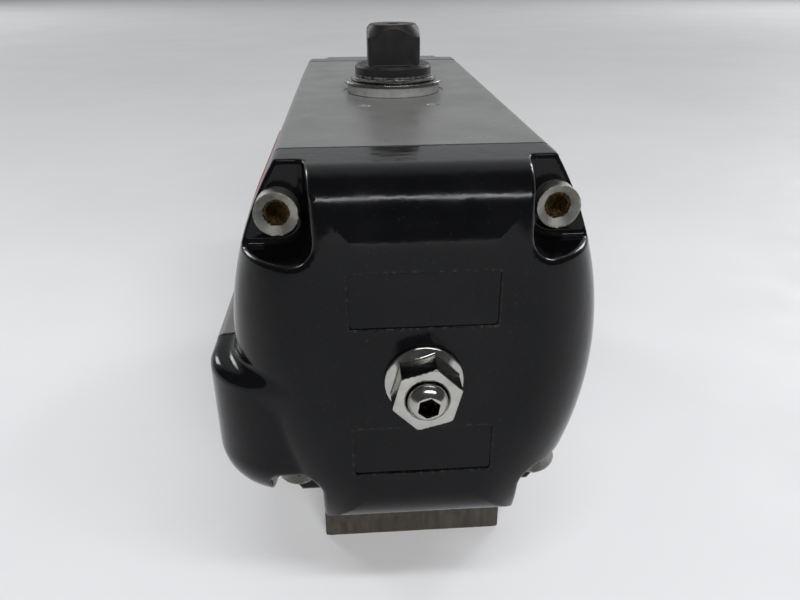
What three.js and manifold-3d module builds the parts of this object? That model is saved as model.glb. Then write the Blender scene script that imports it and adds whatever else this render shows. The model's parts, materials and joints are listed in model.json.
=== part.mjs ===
// Double-acting rotary pneumatic actuator, rack and pinion type. Millimetres, +Z up.
// The pinion turns about Z, the pistons slide along Y, and z = 0 is the face that bolts to a valve.
// Two opposed pistons each carry a rack on one side of the pinion: 31.4 mm of travel turns it 90 degrees.

import * as THREE from "three";
import { mergeVertices } from "three/addons/utils/BufferGeometryUtils.js";
import Module from "manifold-3d";

const wasm = await Module();
wasm.setup();

// Housing
const TOP_Z = 172; // accessory face
const BORE_Z = 106; // height of the bore's axis
const BORE_R = 57.5;
const TOP_HALF = 45.8; // half width of the flat top and of the flat underside
const SIDE_HALF = 64.6; // half width at the bore's axis
const SEAM_Y = 114; // joint between the body and an end cap
const GASKET = 0.8;
const SIDE_SAG = SIDE_HALF - TOP_HALF;
const HALF_RISE = TOP_Z - BORE_Z;
const SIDE_R = (SIDE_SAG ** 2 + HALF_RISE ** 2) / (2 * SIDE_SAG); // bulged side wall
const SIDE_X = SIDE_HALF - SIDE_R; // centre of the side wall's arc
const SIDE_ANGLE = Math.asin(HALF_RISE / SIDE_R);
const BODY_END = SEAM_Y - GASKET / 2;
const CAP_START = SEAM_Y + GASKET / 2;

// Air lobe along the left side, foot below, valve pad on the right side
const LOBE = {
  x: 74, inner: 40, low: 48, high: 103, topR: 4, lowR: 11,
  front: 150, frontTopR: 4, frontLowR: 20, sideR: 26,
};
const FOOT = { half: 38, top: 44, edge: 2.5 };
const PAD = { x: 74, halfY: 33, halfZ: 24, edge: 4 };
const PORT = { r: 5.9, y: 12, depth: 13 };
const PAD_HOLES = { y: 16, z: 12, r: 2.1, depth: 9 };
const CHANNEL = { x: -66, z: 76, r: 4.2 };

// End cap
const CAP_FACE = 156;
const CAP_TOP_R = 22; // rounding from the top to the front face
const CAP_LOW_R = 19;
const CAP_SIDE_R = 34;
const FLANGE_Y = 129; // floor of the screw pockets
const POCKET = { x: 35.5, upDrop: 28, lowDrop: 24, corner: 8, outer: 53.5 };
const RECESS = { half: 23.3, high: 18.6, offset: 28.25, depth: 0.6 };
const CHAMBER = { r: 44, back: 140, tipR: 34, tip: 145 };
const BOSS = { r: 13, start: 122 };

// Fasteners
const CAP_SCREW = { x: 45.2, offset: 50.4, headR: 7.15, headH: 9.5, socket: 7.94 };
const CAP_SHANK = { r: 4.65, length: 31.75 };
const CAP_HOLE_R = 5.1;
const TAPPED = { r: 4.95, bottom: 94 };
const STOP = { r: 6.35, tip: 172.4, inner: 96, socket: 6.35, socketDepth: 6 };
const STOP_HOLE_R = 6.7;
const NUT = { flat: 19.7, high: 12, flangeR: 12.9, turn: 15 };
const SEAL_SEAT = { r: 8.7, depth: 1.6 };
const ACCESSORY = { x: 15, y: 40, r: 2.1, depth: 8 };
const VALVE_BOLTS = { r: 3.4, offset: 24.75, depth: 16 };
const SPIGOT = { r: 27.5, depth: 3 };

// Pinion
const MODULE = 2.5;
const TEETH = 16;
const PITCH_R = (MODULE * TEETH) / 2;
const PITCH = Math.PI * MODULE;
const PRESSURE = THREE.MathUtils.degToRad(20);
const BACKLASH = 0.15;
const GEAR = { root: 16.9, tip: 22.5, low: 90, high: 122 };
const JOURNAL_R = 18;
const SHAFT_R = 16.2;
const COLLAR_TOP = 184.5;
const SQUARE = { flat: 24, corner: 2.2, top: 202 };
const CHAMFER_CONE = { topR: 10.6, wide: 17.6, high: 8 }; // turned chamfer on the square's top
const SOCKET = { flat: 17, depth: 24 };
const PINION_BOTTOM = 1;
const ORING = { seat: 15.6, inner: 15.8, outer: 18.25, high: 3.2, lowZ: 27.5, highZ: 157.5 };
const CIRCLIP = { seat: 17, z: 177.7, high: 1.7, outer: 20.3 };
const STEP_Z = { low: 22, high: 162 }; // ends of the bearing seats in the body
const BEARING = { inner: 18.3, outer: 20, seat: 20.3 };
const SEAL_BORE_R = 18.6;
const TOP_BOSS = { r: 27, low: 152 };
const WASHER_SEAT = { r: 24, depth: 0.3 }; // shallow seat in the top face, under the shaft's washers
const THRUST_WASHER = { inner: 18.5, outer: 22, rise: 4.1, gap: 0.1 };
const STEEL_WASHER = { inner: 18.4, outer: 23.5, low: 4.2, high: 5.5 };

// Pistons
const PISTON = { r: 57, inner: 42, outer: 64, rackEnd: 40, rackHalf: 12, dish: 8 };
const RACK = { addendum: 2.2, dedendum: 3.125, back: 56.6, relief: 52.6, reliefHalf: 7 };
const RING_SEAT = { oring: [54.5, 58], band: [46, 51], depth: 3 };
const RACK_PAD = { from: 20, to: 37, half: 8, seat: 53, outer: 57.1 };

const LABEL = { low: 118, high: 162.5, from: -108, to: -38, gap: 0.1, thick: 0.3 };
const ARC_STEPS = 4;
const BORE_SIDES = 32;
const SHAFT_SIDES = 20;
const SCREW_SIDES = 12;

const finish = (color, roughness, metalness) =>
  new THREE.MeshStandardMaterial({ color, roughness, metalness });
const MATERIAL = {
  body: finish("#7c7d7a", 0.45, 0.35),
  cap: finish("#141518", 0.18, 0.1),
  zinc: finish("#a5a49c", 0.4, 0.9),
  bright: finish("#d8d8d4", 0.15, 1),
  pinion: finish("#1b1b1c", 0.5, 0.6),
  washer: finish("#8f958f", 0.35, 0.9),
  acetal: finish("#6b6b69", 0.5, 0),
  rubber: finish("#101010", 0.8, 0),
  piston: finish("#b9bbbd", 0.4, 0.8),
  label: finish("#b5331f", 0.4, 0),
};

const X = new THREE.Vector3(1, 0, 0);
const Y = new THREE.Vector3(0, 1, 0);
const Z = new THREE.Vector3(0, 0, 1);

// A closed geometry as a manifold solid, with its faces turned outwards.
function solid(geometry) {
  const flat = geometry.index ? geometry.toNonIndexed() : geometry;
  const bare = new THREE.BufferGeometry().setAttribute("position", flat.getAttribute("position"));
  const merged = mergeVertices(bare, 1e-4);
  const corners = merged.index.array;
  const outward = [];
  const inward = [];
  for (let i = 0; i < corners.length; i += 3) {
    const [a, b, c] = [corners[i], corners[i + 1], corners[i + 2]];
    if (a === b || b === c || c === a) continue;
    outward.push(a, b, c);
    inward.push(a, c, b);
  }
  const vertProperties = merged.getAttribute("position").array;
  const build = (triangles) =>
    new wasm.Manifold(new wasm.Mesh({ numProp: 3, vertProperties, triVerts: new Uint32Array(triangles) }));
  const made = build(outward);
  return made.volume() >= 0 ? made : build(inward);
}

function geometryOf(made) {
  const { vertProperties, triVerts } = made.getMesh();
  return new THREE.BufferGeometry()
    .setAttribute("position", new THREE.BufferAttribute(vertProperties, 3))
    .setIndex(new THREE.BufferAttribute(triVerts, 1));
}

// An outline pulled along an axis. Outlines are drawn in XY, XZ or YZ, whichever is across the axis.
function prism(outline, along, from, to) {
  const options = { depth: to - from, bevelEnabled: false, curveSegments: ARC_STEPS };
  const geometry = new THREE.ExtrudeGeometry(outline, options);
  const turn = new THREE.Matrix4();
  if (along === "x") turn.makeBasis(Y, Z, X).setPosition(from, 0, 0);
  if (along === "y") turn.makeBasis(X, Z, Y.clone().negate()).setPosition(0, to, 0);
  if (along === "z") turn.setPosition(0, 0, from);
  return solid(geometry.applyMatrix4(turn));
}

// A profile of [radius, height] pairs turned about an axis through a point.
function turned(profile, along, sides, [x, y, z] = [0, 0, 0]) {
  const points = profile.map(([r, h]) => new THREE.Vector2(r, h));
  const geometry = new THREE.LatheGeometry(points, sides);
  if (along === "z") geometry.rotateX(Math.PI / 2);
  if (along === "x") geometry.rotateZ(-Math.PI / 2);
  return solid(geometry.translate(x, y, z));
}

const rod = (r, from, to, along, sides, at) =>
  turned([[0, from], [r, from], [r, to], [0, to]], along, sides, at);
const ring = (inner, outer, from, to, along, sides, at) =>
  turned([[inner, from], [outer, from], [outer, to], [inner, to], [inner, from]], along, sides, at);

function polygon(points) {
  return new THREE.Shape(points.map(([x, y]) => new THREE.Vector2(x, y)));
}

function rectangle(left, low, right, high) {
  return polygon([[left, low], [right, low], [right, high], [left, high]]);
}

function regular(sides, flat, turnDegrees = 0) {
  const r = flat / 2 / Math.cos(Math.PI / sides);
  const start = THREE.MathUtils.degToRad(turnDegrees);
  const points = [];
  for (let i = 0; i < sides; i += 1) {
    const angle = start + (i * 2 * Math.PI) / sides;
    points.push([r * Math.cos(angle), r * Math.sin(angle)]);
  }
  return polygon(points);
}

// Housing section without its foot: flat top and underside, bulged sides.
function housingOutline() {
  const outline = new THREE.Shape();
  outline.moveTo(-TOP_HALF, TOP_Z);
  outline.lineTo(TOP_HALF, TOP_Z);
  outline.absarc(SIDE_X, BORE_Z, SIDE_R, SIDE_ANGLE, -SIDE_ANGLE, true);
  outline.lineTo(-TOP_HALF, BORE_Z - HALF_RISE);
  outline.absarc(-SIDE_X, BORE_Z, SIDE_R, Math.PI + SIDE_ANGLE, Math.PI - SIDE_ANGLE, true);
  return outline;
}

function lobeOutline() {
  const { x, inner, low, high, topR, lowR } = LOBE;
  const outline = new THREE.Shape();
  outline.moveTo(-inner, high);
  outline.lineTo(-inner, low);
  outline.lineTo(-x + lowR, low);
  outline.absarc(-x + lowR, low + lowR, lowR, 1.5 * Math.PI, Math.PI, true);
  outline.lineTo(-x, high - topR);
  outline.absarc(-x + topR, high - topR, topR, Math.PI, Math.PI / 2, true);
  return outline;
}

function footOutline() {
  const { half, top, edge } = FOOT;
  const right = [[half - edge, 0], [half, edge], [half, top]];
  const left = right.map(([x, z]) => [-x, z]).reverse();
  return polygon([...left, ...right]);
}

// The four cap screw axes, as [x, z].
const SCREW_AXES = [
  [-CAP_SCREW.x, BORE_Z + CAP_SCREW.offset],
  [CAP_SCREW.x, BORE_Z + CAP_SCREW.offset],
  [-CAP_SCREW.x, BORE_Z - CAP_SCREW.offset],
  [CAP_SCREW.x, BORE_Z - CAP_SCREW.offset],
];

function makeBody() {
  const { x, halfY, halfZ, edge } = PAD;
  const pad = polygon([
    [-halfY, BORE_Z - halfZ + edge], [-halfY + edge, BORE_Z - halfZ], [halfY - edge, BORE_Z - halfZ],
    [halfY, BORE_Z - halfZ + edge], [halfY, BORE_Z + halfZ - edge], [halfY - edge, BORE_Z + halfZ],
    [-halfY + edge, BORE_Z + halfZ], [-halfY, BORE_Z + halfZ - edge],
  ]);
  let body = prism(housingOutline(), "y", -BODY_END, BODY_END)
    .add(prism(lobeOutline(), "y", -BODY_END, BODY_END))
    .add(prism(footOutline(), "y", -BODY_END, BODY_END))
    .add(prism(pad, "x", SIDE_HALF - 6, x))
    .subtract(rod(BORE_R, -SEAM_Y, SEAM_Y, "y", BORE_SIDES, [0, 0, BORE_Z]))
    .add(rod(TOP_BOSS.r, TOP_BOSS.low, TOP_Z - 4, "z", SHAFT_SIDES));

  // Stepped hole of the pinion: a bearing seat at each end and a sealing bore between.
  body = body
    .subtract(rod(SEAL_BORE_R, -1, TOP_Z + 1, "z", SHAFT_SIDES))
    .subtract(rod(BEARING.seat, -1, STEP_Z.low, "z", SHAFT_SIDES))
    .subtract(rod(BEARING.seat, STEP_Z.high, TOP_Z + 1, "z", SHAFT_SIDES))
    .subtract(rod(WASHER_SEAT.r, TOP_Z - WASHER_SEAT.depth, TOP_Z + 1, "z", SHAFT_SIDES))
    .subtract(rod(SPIGOT.r, -1, SPIGOT.depth, "z", SHAFT_SIDES));

  for (const side of [-1, 1]) {
    for (const end of [-1, 1]) {
      const onTop = [side * ACCESSORY.x, end * ACCESSORY.y, 0];
      body = body.subtract(rod(ACCESSORY.r, TOP_Z - ACCESSORY.depth, TOP_Z + 1, "z", 8, onTop));
      const below = [side * VALVE_BOLTS.offset, end * VALVE_BOLTS.offset, 0];
      body = body.subtract(rod(VALVE_BOLTS.r, -1, VALVE_BOLTS.depth, "z", 10, below));
      const onPad = [0, end * PAD_HOLES.y, BORE_Z + side * PAD_HOLES.z];
      body = body.subtract(rod(PAD_HOLES.r, x - PAD_HOLES.depth, x + 1, "x", 8, onPad));
    }
    for (const [sx, sz] of SCREW_AXES) {
      const [from, to] = side > 0 ? [TAPPED.bottom, SEAM_Y] : [-SEAM_Y, -TAPPED.bottom];
      body = body.subtract(rod(TAPPED.r, from, to, "y", SCREW_SIDES, [sx, 0, sz]));
    }
  }

  // The port at -Y opens into the space between the pistons, the other one is blind.
  return body
    .subtract(rod(PORT.r, BORE_R - 4, x + 1, "x", SCREW_SIDES, [0, -PORT.y, BORE_Z]))
    .subtract(rod(PORT.r, x - PORT.depth, x + 1, "x", SCREW_SIDES, [0, PORT.y, BORE_Z]))
    .subtract(rod(CHANNEL.r, -SEAM_Y, SEAM_Y, "y", 12, [CHANNEL.x, 0, CHANNEL.z]));
}

// Section of a cap seen from the side: an outline in Y and Z that rounds into the front face.
function capSide(front, low, high, lowR, highR) {
  const outline = new THREE.Shape();
  outline.moveTo(-CAP_START, low);
  outline.lineTo(-CAP_START, high);
  outline.lineTo(-front + highR, high);
  outline.absarc(-front + highR, high - highR, highR, Math.PI / 2, Math.PI, false);
  outline.lineTo(-front, low + lowR);
  outline.absarc(-front + lowR, low + lowR, lowR, Math.PI, 1.5 * Math.PI, false);
  return outline;
}

// Section of a cap seen from above: an outline in X and Y.
function capPlan(left, right, front, leftR, rightR) {
  const outline = new THREE.Shape();
  outline.moveTo(left, -CAP_START);
  outline.lineTo(left, -front + leftR);
  outline.absarc(left + leftR, -front + leftR, leftR, Math.PI, 1.5 * Math.PI, false);
  const rightX = right - rightR;
  outline.lineTo(rightX, -front);
  if (rightR > 0) outline.absarc(rightX, -front + rightR, rightR, 1.5 * Math.PI, 2 * Math.PI, false);
  outline.lineTo(right, -CAP_START);
  return outline;
}

// Clearance around a cap screw's head, open towards the nearer edge of the cap.
function pocketOutline(side, up, outer) {
  const { x, upDrop, lowDrop, corner } = POCKET;
  const drop = up > 0 ? upDrop : lowDrop;
  const floor = BORE_Z + up * (HALF_RISE - drop);
  const past = BORE_Z + up * (HALF_RISE + 5);
  const outline = new THREE.Shape();
  outline.moveTo(side * x, past);
  outline.lineTo(side * x, floor + up * corner);
  outline.quadraticCurveTo(side * x, floor, side * (x + corner), floor);
  if (outer < SIDE_HALF) {
    outline.lineTo(side * (outer - corner), floor);
    outline.quadraticCurveTo(side * outer, floor, side * outer, floor + up * corner);
  } else {
    outline.lineTo(side * outer, floor);
  }
  outline.lineTo(side * outer, past);
  return outline;
}

function makeFrontCap() {
  const low = BORE_Z - HALF_RISE;
  let cap = prism(housingOutline(), "y", -CAP_FACE, -CAP_START)
    .intersect(prism(capSide(CAP_FACE, low, TOP_Z, CAP_LOW_R, CAP_TOP_R), "x", -80, 80))
    .intersect(prism(capPlan(-SIDE_HALF, SIDE_HALF, CAP_FACE, CAP_SIDE_R, CAP_SIDE_R), "z", 0, TOP_Z));
  const lobe = prism(lobeOutline(), "y", -LOBE.front, -CAP_START)
    .intersect(prism(capSide(LOBE.front, LOBE.low, LOBE.high, LOBE.frontLowR, LOBE.frontTopR), "x", -80, 0))
    .intersect(prism(capPlan(-LOBE.x, -LOBE.inner, LOBE.front, LOBE.sideR, 0), "z", 0, TOP_Z));
  cap = cap.add(lobe);

  for (const [side, up, outer] of [[-1, 1, 90], [1, 1, 90], [-1, -1, POCKET.outer], [1, -1, 90]]) {
    cap = cap.subtract(prism(pocketOutline(side, up, outer), "y", -CAP_FACE - 4, -FLANGE_Y));
  }
  for (const [sx, sz] of SCREW_AXES) {
    cap = cap.subtract(rod(CAP_HOLE_R, -CAP_FACE, -SEAM_Y, "y", SCREW_SIDES, [sx, 0, sz]));
  }

  // Inside: the air chamber, with a boss for the stop screw and a drilling to the lobe's channel.
  const { r, back, tipR, tip } = CHAMBER;
  const axis = [0, 0, BORE_Z];
  const hollow = [[0, -SEAM_Y], [r, -SEAM_Y], [r, -back], [tipR, -tip], [0, -tip]];
  const chamber = turned(hollow, "y", BORE_SIDES, axis)
    .subtract(rod(BOSS.r, -CAP_FACE, -BOSS.start, "y", SHAFT_SIDES, axis));
  cap = cap
    .subtract(chamber)
    .subtract(rod(CHANNEL.r, -SEAM_Y - 14, -SEAM_Y, "y", 12, [CHANNEL.x, 0, CHANNEL.z]))
    .subtract(rod(3, CHANNEL.x, 4 - r, "x", 10, [0, -SEAM_Y - 10, CHANNEL.z + 6]))
    .subtract(rod(STOP_HOLE_R, -CAP_FACE - 1, -SEAM_Y, "y", SHAFT_SIDES, axis))
    .subtract(rod(SEAL_SEAT.r, -CAP_FACE - 1, -CAP_FACE + SEAL_SEAT.depth, "y", SHAFT_SIDES, axis));

  for (const up of [-1, 1]) {
    const middle = BORE_Z + up * RECESS.offset;
    const panel = rectangle(-RECESS.half, middle - RECESS.high / 2, RECESS.half, middle + RECESS.high / 2);
    cap = cap.subtract(prism(panel, "y", -CAP_FACE - 1, -CAP_FACE + RECESS.depth));
  }
  return cap;
}

function makeFrontGasket() {
  let gasket = prism(housingOutline(), "y", -CAP_START, -BODY_END)
    .add(prism(lobeOutline(), "y", -CAP_START, -BODY_END))
    .subtract(rod(BORE_R - 1, -SEAM_Y - 2, -SEAM_Y + 2, "y", BORE_SIDES, [0, 0, BORE_Z]))
    .subtract(rod(CHANNEL.r, -SEAM_Y - 2, -SEAM_Y + 2, "y", 12, [CHANNEL.x, 0, CHANNEL.z]));
  for (const [sx, sz] of SCREW_AXES) {
    gasket = gasket.subtract(rod(CAP_HOLE_R, -SEAM_Y - 2, -SEAM_Y + 2, "y", SCREW_SIDES, [sx, 0, sz]));
  }
  return gasket;
}

// Socket head cap screw about the Y axis: the head's face at -Y, its underside at y = 0.
function makeCapScrew() {
  const { headR, headH, socket } = CAP_SCREW;
  const { r, length } = CAP_SHANK;
  const profile = [
    [0, -headH], [headR - 0.8, -headH], [headR, -headH + 0.8], [headR, 0],
    [r, 0], [r, length - 1], [r - 1, length], [0, length],
  ];
  return turned(profile, "y", SCREW_SIDES)
    .subtract(prism(regular(6, socket), "y", -headH - 1, -headH + 5));
}

// Flange nut about the Y axis, sitting on y = 0 and standing out towards -Y.
function makeLockNut() {
  const { flat, high, flangeR, turn } = NUT;
  const cornerR = flat / 2 / Math.cos(Math.PI / 6);
  const crown = [[0, 0], [cornerR + 1, 0], [cornerR + 1, -high + 0.8], [cornerR - 0.5, -high], [0, -high]];
  const flange = [[0, 0], [flangeR, 0], [flangeR, -1.4], [cornerR - 0.6, -2.8], [0, -2.8]];
  return prism(regular(6, flat, turn), "y", -high, 0)
    .intersect(turned(crown, "y", SHAFT_SIDES))
    .add(turned(flange, "y", SHAFT_SIDES))
    .subtract(rod(STOP_HOLE_R, -high - 1, 1, "y", SHAFT_SIDES));
}

// Travel stop screw about the Y axis, from the piston's end to its domed outer tip.
function makeStopScrew() {
  const { r, tip, inner, socket, socketDepth } = STOP;
  const profile = [
    [0, -tip], [r - 2.6, -tip], [r - 0.9, -tip + 1.5], [r, -tip + 3.6],
    [r, -inner - 2], [r - 1.2, -inner], [0, -inner],
  ];
  return turned(profile, "y", 20)
    .subtract(prism(regular(6, socket, 10), "y", -tip - 1, -tip + socketDepth));
}

const involute = (angle) => Math.tan(angle) - angle;

// Gear section with involute flanks. A space, not a tooth, faces +X and -X.
function gearOutline() {
  const baseR = PITCH_R * Math.cos(PRESSURE);
  const halfAtPitch = (PITCH / 2 - BACKLASH) / 2 / PITCH_R;
  const halfAt = (r) => {
    const angle = Math.acos(Math.min(1, baseR / r));
    return halfAtPitch + involute(PRESSURE) - involute(angle);
  };
  const radii = [GEAR.root, baseR, (baseR + GEAR.tip) / 2, GEAR.tip];
  const points = [];
  for (let tooth = 0; tooth < TEETH; tooth += 1) {
    const centre = ((tooth + 0.5) * 2 * Math.PI) / TEETH;
    for (const r of radii) {
      points.push([r * Math.cos(centre - halfAt(r)), r * Math.sin(centre - halfAt(r))]);
    }
    for (const r of [...radii].reverse()) {
      points.push([r * Math.cos(centre + halfAt(r)), r * Math.sin(centre + halfAt(r))]);
    }
  }
  return polygon(points);
}

// Square with cut corners, for the shaft's top end.
function shaftSquare() {
  const half = SQUARE.flat / 2;
  const cut = half - SQUARE.corner;
  const corners = [[half, cut], [cut, half], [-cut, half], [-half, cut]];
  return polygon([...corners, ...corners.map(([x, y]) => [-x, -y])]);
}

// Two squares 45 degrees apart, so that the drive fits in eight positions.
function doubleSquareSocket() {
  const square = prism(regular(4, SOCKET.flat, 45), "z", -1, PINION_BOTTOM + SOCKET.depth);
  return square.add(prism(regular(4, SOCKET.flat, 0), "z", -1, PINION_BOTTOM + SOCKET.depth));
}

function makePinion() {
  const groove = (z, high, seat) => [
    [JOURNAL_R, z - high / 2], [seat, z - high / 2], [seat, z + high / 2], [JOURNAL_R, z + high / 2],
  ];
  const profile = [
    [0, PINION_BOTTOM], [JOURNAL_R - 0.8, PINION_BOTTOM], [JOURNAL_R, PINION_BOTTOM + 0.8],
    ...groove(ORING.lowZ, ORING.high, ORING.seat),
    [JOURNAL_R, 50], [SHAFT_R, 52], [SHAFT_R, TOP_BOSS.low - 3], [JOURNAL_R, TOP_BOSS.low - 1],
    ...groove(ORING.highZ, ORING.high, ORING.seat),
    ...groove(CIRCLIP.z + CIRCLIP.high / 2, CIRCLIP.high, CIRCLIP.seat),
    [JOURNAL_R, COLLAR_TOP - 0.8], [JOURNAL_R - 0.8, COLLAR_TOP], [0, COLLAR_TOP],
  ];
  const low = COLLAR_TOP - 4;
  const { topR, wide, high } = CHAMFER_CONE;
  const cone = [[0, low], [wide, low], [wide, SQUARE.top - high], [topR, SQUARE.top], [0, SQUARE.top]];
  const square = prism(shaftSquare(), "z", low, SQUARE.top).intersect(turned(cone, "z", 32));
  return turned(profile, "z", SHAFT_SIDES)
    .add(prism(gearOutline(), "z", GEAR.low, GEAR.high))
    .add(square)
    .subtract(doubleSquareSocket())
    .subtract(rod(2.5, SQUARE.top - 14, SQUARE.top + 1, "z", 10));
}

// Toothed face of the rack at -X, in XY. A tooth stands at y = 0, in mesh with the gear's space.
function rackOutline() {
  const tipX = -PITCH_R + RACK.addendum;
  const rootX = -PITCH_R - RACK.dedendum;
  const halfAtPitch = (PITCH / 2 - BACKLASH) / 2;
  const halfTip = halfAtPitch - RACK.addendum * Math.tan(PRESSURE);
  const halfRoot = halfAtPitch + RACK.dedendum * Math.tan(PRESSURE);
  const points = [[-BORE_R, PISTON.rackEnd], [-BORE_R, -PISTON.inner - 1], [rootX, -PISTON.inner - 1]];
  for (let tooth = -5; tooth <= 4; tooth += 1) {
    const y = tooth * PITCH;
    points.push([rootX, y - halfRoot], [tipX, y - halfTip], [tipX, y + halfTip], [rootX, y + halfRoot]);
  }
  points.push([rootX, PISTON.rackEnd]);
  return polygon(points);
}

// Front piston: crown towards -Y, rack on the -X side of the pinion.
function makeFrontPiston() {
  const { r, inner, outer, rackHalf, dish } = PISTON;
  const axis = [0, 0, BORE_Z];
  const seat = r - RING_SEAT.depth;
  const [bandIn, bandOut] = RING_SEAT.band;
  const [oringIn, oringOut] = RING_SEAT.oring;
  const crown = turned([
    [0, -outer + dish], [r - 14, -outer + dish], [r - 12, -outer], [r - 1, -outer], [r, -outer + 1],
    [r, -oringOut], [seat, -oringOut], [seat, -oringIn], [r, -oringIn],
    [r, -bandOut], [seat, -bandOut], [seat, -bandIn], [r, -bandIn], [r, -inner], [0, -inner],
  ], "y", BORE_SIDES, axis);
  const rack = prism(rackOutline(), "z", BORE_Z - rackHalf, BORE_Z + rackHalf)
    .intersect(rod(RACK.back, -BORE_R, BORE_R, "y", BORE_SIDES, axis));
  const relief = rectangle(-BORE_R, BORE_Z - RACK.reliefHalf, -RACK.relief, BORE_Z + RACK.reliefHalf);
  const padHalf = RACK_PAD.half + 0.3;
  const padSeat = rectangle(-BORE_R, BORE_Z - padHalf, -RACK_PAD.seat, BORE_Z + padHalf);
  return crown
    .add(rack)
    .subtract(prism(relief, "y", -inner, RACK_PAD.from - 3))
    .subtract(prism(padSeat, "y", RACK_PAD.from - 0.3, RACK_PAD.to + 0.3));
}

function makeFrontRackPad() {
  const { from, to, half, seat, outer } = RACK_PAD;
  return prism(rectangle(-BORE_R, BORE_Z - half, -seat - 0.3, BORE_Z + half), "y", from, to)
    .intersect(rod(outer, -BORE_R, BORE_R, "y", BORE_SIDES, [0, 0, BORE_Z]));
}

function makePistonRing([inner, outer]) {
  const seat = PISTON.r - RING_SEAT.depth + 0.2;
  return ring(seat, BORE_R - 0.15, -outer + 0.2, -inner - 0.2, "y", BORE_SIDES, [0, 0, BORE_Z]);
}

// Name plate: a thin sheet that follows the bulge of the left side wall.
function makeLabel() {
  const { low, high, from, to, gap, thick } = LABEL;
  const angleAt = (z, r) => Math.PI - Math.asin((z - BORE_Z) / r);
  const inner = SIDE_R + gap;
  const outer = inner + thick;
  const sheet = new THREE.Shape();
  sheet.absarc(-SIDE_X, BORE_Z, outer, angleAt(low, outer), angleAt(high, outer), true);
  sheet.absarc(-SIDE_X, BORE_Z, inner, angleAt(high, inner), angleAt(low, inner), false);
  return prism(sheet, "y", from, to);
}

const actuator = new THREE.Group();

function piece(name, made, material, { position = [0, 0, 0], turn = 0 } = {}) {
  const mesh = new THREE.Mesh(made.isBufferGeometry ? made : geometryOf(made), material);
  mesh.name = name;
  mesh.position.set(...position);
  mesh.rotation.z = turn;
  actuator.add(mesh);
}

piece("body", makeBody(), MATERIAL.body);
piece("side_label", makeLabel(), MATERIAL.label);

const bearingRing = (from, to) => ring(BEARING.inner, BEARING.outer, from, to, "z", SHAFT_SIDES);
piece("lower_bearing", bearingRing(SPIGOT.depth + 1, STEP_Z.low - 0.3), MATERIAL.acetal);
piece("upper_bearing", bearingRing(STEP_Z.high + 0.3, TOP_Z - 0.2), MATERIAL.acetal);
const { inner: thrustIn, outer: thrustOut, rise, gap: thrustGap } = THRUST_WASHER;
const thrustSpan = [TOP_Z - WASHER_SEAT.depth + thrustGap, TOP_Z + rise];
piece("thrust_washer", ring(thrustIn, thrustOut, ...thrustSpan, "z", SHAFT_SIDES), MATERIAL.acetal);

const cap = makeFrontCap();
const gasket = makeFrontGasket();
const capScrew = geometryOf(makeCapScrew());
const lockNut = geometryOf(makeLockNut());
const stopScrew = makeStopScrew();
const sealSpan = [-CAP_FACE, -CAP_FACE + SEAL_SEAT.depth - 0.1];
const stopSeal = ring(6.8, SEAL_SEAT.r - 0.3, ...sealSpan, "y", SHAFT_SIDES);
const piston = makeFrontPiston();
const rackPad = makeFrontRackPad();
const pistonOring = makePistonRing(RING_SEAT.oring);
const guideBand = makePistonRing(RING_SEAT.band);

// The rear end is the front one turned half round, but its cap is mirrored so that the lobes line up.
for (const [end, away] of [["front", -1], ["rear", 1]]) {
  const turn = away > 0 ? Math.PI : 0;
  const flip = (made) => (away > 0 ? made.mirror([0, 1, 0]) : made);
  piece(`${end}_end_cap`, flip(cap), MATERIAL.cap);
  piece(`${end}_cap_gasket`, flip(gasket), MATERIAL.rubber);
  SCREW_AXES.forEach(([x, z], index) => {
    const position = [x, away * FLANGE_Y, z];
    piece(`${end}_cap_screw_${index + 1}`, capScrew, MATERIAL.zinc, { position, turn });
  });
  const nutSeat = [0, away * (CAP_FACE + 0.1), BORE_Z];
  piece(`${end}_lock_nut`, lockNut, MATERIAL.bright, { position: nutSeat, turn });
  piece(`${end}_stop_seal`, stopSeal, MATERIAL.rubber, { position: [0, 0, BORE_Z], turn });
  piece(`${end}_stop_screw`, stopScrew, MATERIAL.bright, { position: [0, 0, BORE_Z], turn });
  piece(`${end}_piston`, piston, MATERIAL.piston, { turn });
  piece(`${end}_piston_oring`, pistonOring, MATERIAL.rubber, { turn });
  piece(`${end}_guide_band`, guideBand, MATERIAL.acetal, { turn });
  piece(`${end}_rack_pad`, rackPad, MATERIAL.acetal, { turn });
}

piece("pinion", makePinion(), MATERIAL.pinion);
const { inner: steelIn, outer: steelOut, low: steelLow, high: steelHigh } = STEEL_WASHER;
const steelSpan = [TOP_Z + steelLow, TOP_Z + steelHigh];
piece("steel_washer", ring(steelIn, steelOut, ...steelSpan, "z", SHAFT_SIDES), MATERIAL.washer);
const clipSpan = [CIRCLIP.z + 0.05, CIRCLIP.z + CIRCLIP.high - 0.05];
const clip = ring(CIRCLIP.seat + 0.2, CIRCLIP.outer, ...clipSpan, "z", SHAFT_SIDES);
piece("retaining_ring", clip, MATERIAL.washer);
for (const [name, z] of [["lower_oring", ORING.lowZ], ["upper_oring", ORING.highZ]]) {
  const half = ORING.high / 2 - 0.2;
  piece(name, ring(ORING.inner, ORING.outer, z - half, z + half, "z", SHAFT_SIDES), MATERIAL.rubber);
}

export default actuator;
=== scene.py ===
import json
import math

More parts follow.
